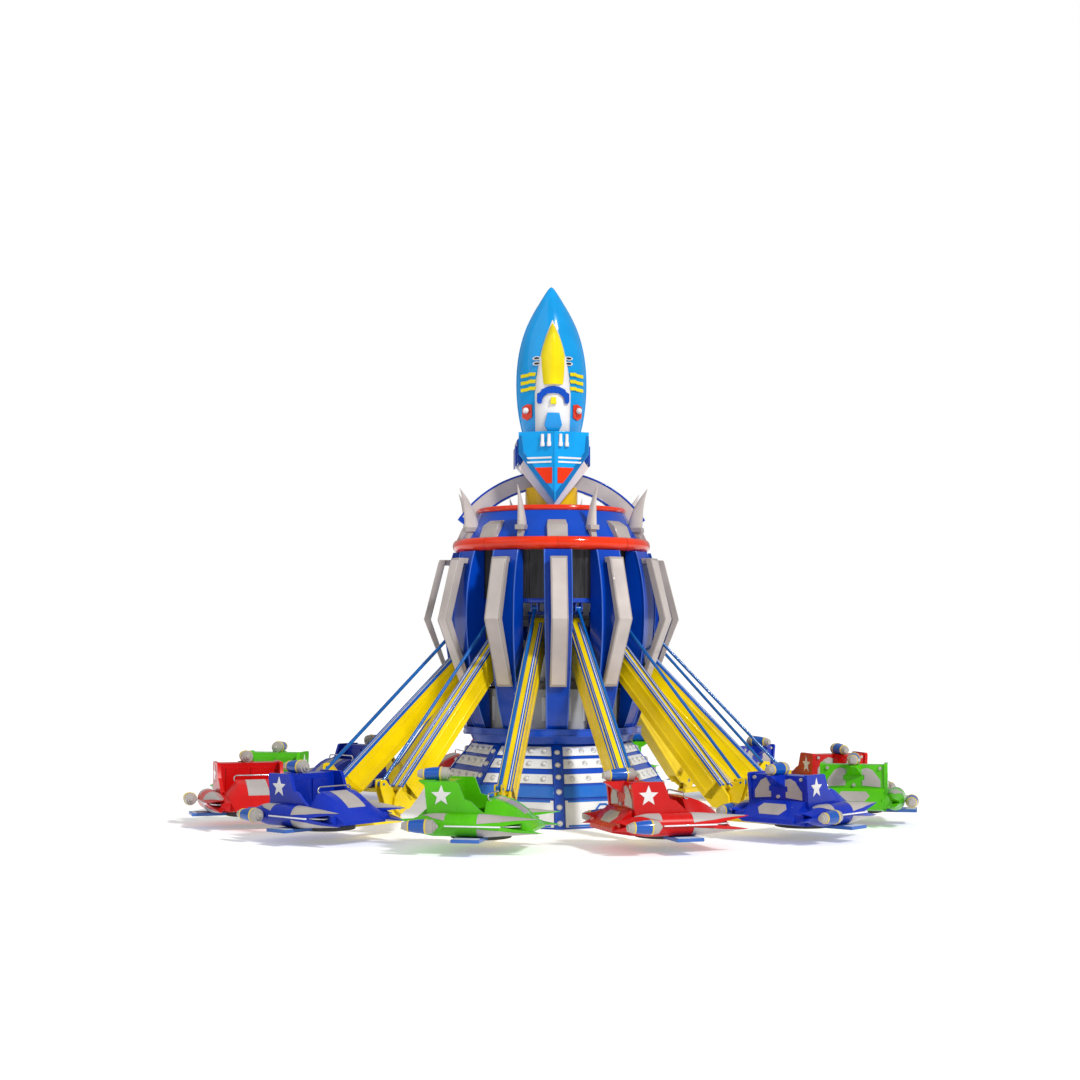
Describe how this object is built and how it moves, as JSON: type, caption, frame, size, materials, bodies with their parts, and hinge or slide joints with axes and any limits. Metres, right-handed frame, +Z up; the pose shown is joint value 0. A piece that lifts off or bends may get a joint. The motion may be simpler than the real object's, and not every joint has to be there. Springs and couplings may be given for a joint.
{
  "type": "spinning plane amusement ride",
  "caption": "Carousel-type ride: two-seat planes on lifting arms turn round a ribbed tower with a rocket on top, above a lamp-lit octagonal skirt.",
  "frame": {"origin": "on the turning axis at ground level, the bottom of the base", "axes": "+Z up along the turning axis, -Y towards the front where the rocket prow points, +X to the right seen from the front"},
  "size_m": [12.0694, 12.0694, 8.89],
  "materials": {
    "tower_blue": "gloss",
    "rib_blue": "gloss",
    "skirt_white": "gloss",
    "lamp_lens": "gloss",
    "bare_steel": "satin",
    "drive_grey": "satin",
    "column_grey": "satin",
    "dark_cladding": "satin",
    "trim_grey": "satin",
    "ring_red": "gloss",
    "neck_gold": "gloss",
    "rocket_sky": "gloss",
    "arm_yellow": "gloss",
    "rod_blue": "gloss",
    "plane_red": "gloss",
    "plane_blue": "gloss",
    "plane_green": "gloss"
  },
  "bodies": {
    "base": {"base_plate": "bare_steel", "pedestal": "drive_grey", "drive_motor": "drive_grey", "skirt_frame": "tower_blue", "skirt_panels": "skirt_white", "skirt_lamps": "lamp_lens"},
    "drive_pinion": {"drive_pinion": "bare_steel"},
    "rotor": {"slew_ring": "bare_steel", "rotor_deck": "tower_blue", "rotor_column": "column_grey", "lower_drum": "column_grey", "upper_drum": "dark_cladding", "ribs": "rib_blue", "rib_bars": "trim_grey", "arm_brackets": "tower_blue", "lift_drives": "drive_grey", "red_rings": "ring_red", "crown_shell": "tower_blue", "crown_horns": "trim_grey", "arch": "trim_grey", "neck": "neck_gold", "rocket_hull": "rocket_sky", "rocket_prow": "rocket_sky"},
    "arm_01": {"arm_01": "arm_yellow"},
    "level_rod_01": {"level_rod_01": "rod_blue"},
    "gondola_01": {"gondola_01": "plane_red"},
    "arm_02": {"arm_02": "arm_yellow"},
    "level_rod_02": {"level_rod_02": "rod_blue"},
    "gondola_02": {"gondola_02": "plane_blue"},
    "arm_03": {"arm_03": "arm_yellow"},
    "level_rod_03": {"level_rod_03": "rod_blue"},
    "gondola_03": {"gondola_03": "plane_green"},
    "arm_04": {"arm_04": "arm_yellow"},
    "level_rod_04": {"level_rod_04": "rod_blue"},
    "gondola_04": {"gondola_04": "plane_red"},
    "arm_05": {"arm_05": "arm_yellow"},
    "level_rod_05": {"level_rod_05": "rod_blue"},
    "gondola_05": {"gondola_05": "plane_blue"},
    "arm_06": {"arm_06": "arm_yellow"},
    "level_rod_06": {"level_rod_06": "rod_blue"},
    "gondola_06": {"gondola_06": "plane_green"},
    "arm_07": {"arm_07": "arm_yellow"},
    "level_rod_07": {"level_rod_07": "rod_blue"},
    "gondola_07": {"gondola_07": "plane_red"},
    "arm_08": {"arm_08": "arm_yellow"},
    "level_rod_08": {"level_rod_08": "rod_blue"},
    "gondola_08": {"gondola_08": "plane_blue"},
    "arm_09": {"arm_09": "arm_yellow"},
    "level_rod_09": {"level_rod_09": "rod_blue"},
    "gondola_09": {"gondola_09": "plane_green"},
    "arm_10": {"arm_10": "arm_yellow"},
    "level_rod_10": {"level_rod_10": "rod_blue"},
    "gondola_10": {"gondola_10": "plane_red"},
    "arm_11": {"arm_11": "arm_yellow"},
    "level_rod_11": {"level_rod_11": "rod_blue"},
    "gondola_11": {"gondola_11": "plane_blue"},
    "arm_12": {"arm_12": "arm_yellow"},
    "level_rod_12": {"level_rod_12": "rod_blue"},
    "gondola_12": {"gondola_12": "plane_green"}
  },
  "joints": [
    {"name": "rotor_spin", "type": "hinge", "parent": "base", "child": "rotor", "pos_m": [0, 0, 1.3], "axis": [0, 0, 1], "continuous": true},
    {"name": "pinion_spin", "type": "hinge", "parent": "base", "child": "drive_pinion", "pos_m": [0.702, 0, 1.3], "axis": [0, 0, 1], "continuous": true},
    {"name": "arm_01_lift", "type": "hinge", "parent": "rotor", "child": "arm_01", "pos_m": [0.27176, -1.01422, 3.08], "axis": [-0.9659, -0.2588, 0], "range_deg": [0, 44]},
    {"name": "level_rod_01_swing", "type": "hinge", "parent": "rotor", "child": "level_rod_01", "pos_m": [0.34423, -1.28468, 3.45], "axis": [-0.9659, -0.2588, 0], "range_deg": [0, 44]},
    {"name": "gondola_01_level", "type": "hinge", "parent": "arm_01", "child": "gondola_01", "pos_m": [0.93692, -3.49665, 0.4], "axis": [-0.9659, -0.2588, 0], "range_deg": [-44, 0]},
    {"name": "arm_02_lift", "type": "hinge", "parent": "rotor", "child": "arm_02", "pos_m": [0.74246, -0.74246, 3.08], "axis": [-0.7071, -0.7071, 0], "range_deg": [0, 44]},
    {"name": "level_rod_02_swing", "type": "hinge", "parent": "rotor", "child": "level_rod_02", "pos_m": [0.94045, -0.94045, 3.45], "axis": [-0.7071, -0.7071, 0], "range_deg": [0, 44]},
    {"name": "gondola_02_level", "type": "hinge", "parent": "arm_02", "child": "gondola_02", "pos_m": [2.55973, -2.55973, 0.4], "axis": [-0.7071, -0.7071, 0], "range_deg": [-44, 0]},
    {"name": "arm_03_lift", "type": "hinge", "parent": "rotor", "child": "arm_03", "pos_m": [1.01422, -0.27176, 3.08], "axis": [-0.2588, -0.9659, 0], "range_deg": [0, 44]},
    {"name": "level_rod_03_swing", "type": "hinge", "parent": "rotor", "child": "level_rod_03", "pos_m": [1.28468, -0.34423, 3.45], "axis": [-0.2588, -0.9659, 0], "range_deg": [0, 44]},
    {"name": "gondola_03_level", "type": "hinge", "parent": "arm_03", "child": "gondola_03", "pos_m": [3.49665, -0.93692, 0.4], "axis": [-0.2588, -0.9659, 0], "range_deg": [-44, 0]},
    {"name": "arm_04_lift", "type": "hinge", "parent": "rotor", "child": "arm_04", "pos_m": [1.01422, 0.27176, 3.08], "axis": [0.2588, -0.9659, 0], "range_deg": [0, 44]},
    {"name": "level_rod_04_swing", "type": "hinge", "parent": "rotor", "child": "level_rod_04", "pos_m": [1.28468, 0.34423, 3.45], "axis": [0.2588, -0.9659, 0], "range_deg": [0, 44]},
    {"name": "gondola_04_level", "type": "hinge", "parent": "arm_04", "child": "gondola_04", "pos_m": [3.49665, 0.93692, 0.4], "axis": [0.2588, -0.9659, 0], "range_deg": [-44, 0]},
    {"name": "arm_05_lift", "type": "hinge", "parent": "rotor", "child": "arm_05", "pos_m": [0.74246, 0.74246, 3.08], "axis": [0.7071, -0.7071, 0], "range_deg": [0, 44]},
    {"name": "level_rod_05_swing", "type": "hinge", "parent": "rotor", "child": "level_rod_05", "pos_m": [0.94045, 0.94045, 3.45], "axis": [0.7071, -0.7071, 0], "range_deg": [0, 44]},
    {"name": "gondola_05_level", "type": "hinge", "parent": "arm_05", "child": "gondola_05", "pos_m": [2.55973, 2.55973, 0.4], "axis": [0.7071, -0.7071, 0], "range_deg": [-44, 0]},
    {"name": "arm_06_lift", "type": "hinge", "parent": "rotor", "child": "arm_06", "pos_m": [0.27176, 1.01422, 3.08], "axis": [0.9659, -0.2588, 0], "range_deg": [0, 44]},
    {"name": "level_rod_06_swing", "type": "hinge", "parent": "rotor", "child": "level_rod_06", "pos_m": [0.34423, 1.28468, 3.45], "axis": [0.9659, -0.2588, 0], "range_deg": [0, 44]},
    {"name": "gondola_06_level", "type": "hinge", "parent": "arm_06", "child": "gondola_06", "pos_m": [0.93692, 3.49665, 0.4], "axis": [0.9659, -0.2588, 0], "range_deg": [-44, 0]},
    {"name": "arm_07_lift", "type": "hinge", "parent": "rotor", "child": "arm_07", "pos_m": [-0.27176, 1.01422, 3.08], "axis": [0.9659, 0.2588, 0], "range_deg": [0, 44]},
    {"name": "level_rod_07_swing", "type": "hinge", "parent": "rotor", "child": "level_rod_07", "pos_m": [-0.34423, 1.28468, 3.45], "axis": [0.9659, 0.2588, 0], "range_deg": [0, 44]},
    {"name": "gondola_07_level", "type": "hinge", "parent": "arm_07", "child": "gondola_07", "pos_m": [-0.93692, 3.49665, 0.4], "axis": [0.9659, 0.2588, 0], "range_deg": [-44, 0]},
    {"name": "arm_08_lift", "type": "hinge", "parent": "rotor", "child": "arm_08", "pos_m": [-0.74246, 0.74246, 3.08], "axis": [0.7071, 0.7071, 0], "range_deg": [0, 44]},
    {"name": "level_rod_08_swing", "type": "hinge", "parent": "rotor", "child": "level_rod_08", "pos_m": [-0.94045, 0.94045, 3.45], "axis": [0.7071, 0.7071, 0], "range_deg": [0, 44]},
    {"name": "gondola_08_level", "type": "hinge", "parent": "arm_08", "child": "gondola_08", "pos_m": [-2.55973, 2.55973, 0.4], "axis": [0.7071, 0.7071, 0], "range_deg": [-44, 0]},
    {"name": "arm_09_lift", "type": "hinge", "parent": "rotor", "child": "arm_09", "pos_m": [-1.01422, 0.27176, 3.08], "axis": [0.2588, 0.9659, 0], "range_deg": [0, 44]},
    {"name": "level_rod_09_swing", "type": "hinge", "parent": "rotor", "child": "level_rod_09", "pos_m": [-1.28468, 0.34423, 3.45], "axis": [0.2588, 0.9659, 0], "range_deg": [0, 44]},
    {"name": "gondola_09_level", "type": "hinge", "parent": "arm_09", "child": "gondola_09", "pos_m": [-3.49665, 0.93692, 0.4], "axis": [0.2588, 0.9659, 0], "range_deg": [-44, 0]},
    {"name": "arm_10_lift", "type": "hinge", "parent": "rotor", "child": "arm_10", "pos_m": [-1.01422, -0.27176, 3.08], "axis": [-0.2588, 0.9659, 0], "range_deg": [0, 44]},
    {"name": "level_rod_10_swing", "type": "hinge", "parent": "rotor", "child": "level_rod_10", "pos_m": [-1.28468, -0.34423, 3.45], "axis": [-0.2588, 0.9659, 0], "range_deg": [0, 44]},
    {"name": "gondola_10_level", "type": "hinge", "parent": "arm_10", "child": "gondola_10", "pos_m": [-3.49665, -0.93692, 0.4], "axis": [-0.2588, 0.9659, 0], "range_deg": [-44, 0]},
    {"name": "arm_11_lift", "type": "hinge", "parent": "rotor", "child": "arm_11", "pos_m": [-0.74246, -0.74246, 3.08], "axis": [-0.7071, 0.7071, 0], "range_deg": [0, 44]},
    {"name": "level_rod_11_swing", "type": "hinge", "parent": "rotor", "child": "level_rod_11", "pos_m": [-0.94045, -0.94045, 3.45], "axis": [-0.7071, 0.7071, 0], "range_deg": [0, 44]},
    {"name": "gondola_11_level", "type": "hinge", "parent": "arm_11", "child": "gondola_11", "pos_m": [-2.55973, -2.55973, 0.4], "axis": [-0.7071, 0.7071, 0], "range_deg": [-44, 0]},
    {"name": "arm_12_lift", "type": "hinge", "parent": "rotor", "child": "arm_12", "pos_m": [-0.27176, -1.01422, 3.08], "axis": [-0.9659, 0.2588, 0], "range_deg": [0, 44]},
    {"name": "level_rod_12_swing", "type": "hinge", "parent": "rotor", "child": "level_rod_12", "pos_m": [-0.34423, -1.28468, 3.45], "axis": [-0.9659, 0.2588, 0], "range_deg": [0, 44]},
    {"name": "gondola_12_level", "type": "hinge", "parent": "arm_12", "child": "gondola_12", "pos_m": [-0.93692, -3.49665, 0.4], "axis": [-0.9659, 0.2588, 0], "range_deg": [-44, 0]}
  ],
  "couplings": [
    {"joint": "pinion_spin", "follows": "rotor_spin", "ratio": -5.8824},
    {"joint": "level_rod_01_swing", "follows": "arm_01_lift", "ratio": 1},
    {"joint": "gondola_01_level", "follows": "arm_01_lift", "ratio": -1},
    {"joint": "level_rod_02_swing", "follows": "arm_02_lift", "ratio": 1},
    {"joint": "gondola_02_level", "follows": "arm_02_lift", "ratio": -1},
    {"joint": "level_rod_03_swing", "follows": "arm_03_lift", "ratio": 1},
    {"joint": "gondola_03_level", "follows": "arm_03_lift", "ratio": -1},
    {"joint": "level_rod_04_swing", "follows": "arm_04_lift", "ratio": 1},
    {"joint": "gondola_04_level", "follows": "arm_04_lift", "ratio": -1},
    {"joint": "level_rod_05_swing", "follows": "arm_05_lift", "ratio": 1},
    {"joint": "gondola_05_level", "follows": "arm_05_lift", "ratio": -1},
    {"joint": "level_rod_06_swing", "follows": "arm_06_lift", "ratio": 1},
    {"joint": "gondola_06_level", "follows": "arm_06_lift", "ratio": -1},
    {"joint": "level_rod_07_swing", "follows": "arm_07_lift", "ratio": 1},
    {"joint": "gondola_07_level", "follows": "arm_07_lift", "ratio": -1},
    {"joint": "level_rod_08_swing", "follows": "arm_08_lift", "ratio": 1},
    {"joint": "gondola_08_level", "follows": "arm_08_lift", "ratio": -1},
    {"joint": "level_rod_09_swing", "follows": "arm_09_lift", "ratio": 1},
    {"joint": "gondola_09_level", "follows": "arm_09_lift", "ratio": -1},
    {"joint": "level_rod_10_swing", "follows": "arm_10_lift", "ratio": 1},
    {"joint": "gondola_10_level", "follows": "arm_10_lift", "ratio": -1},
    {"joint": "level_rod_11_swing", "follows": "arm_11_lift", "ratio": 1},
    {"joint": "gondola_11_level", "follows": "arm_11_lift", "ratio": -1},
    {"joint": "level_rod_12_swing", "follows": "arm_12_lift", "ratio": 1},
    {"joint": "gondola_12_level", "follows": "arm_12_lift", "ratio": -1}
  ]
}
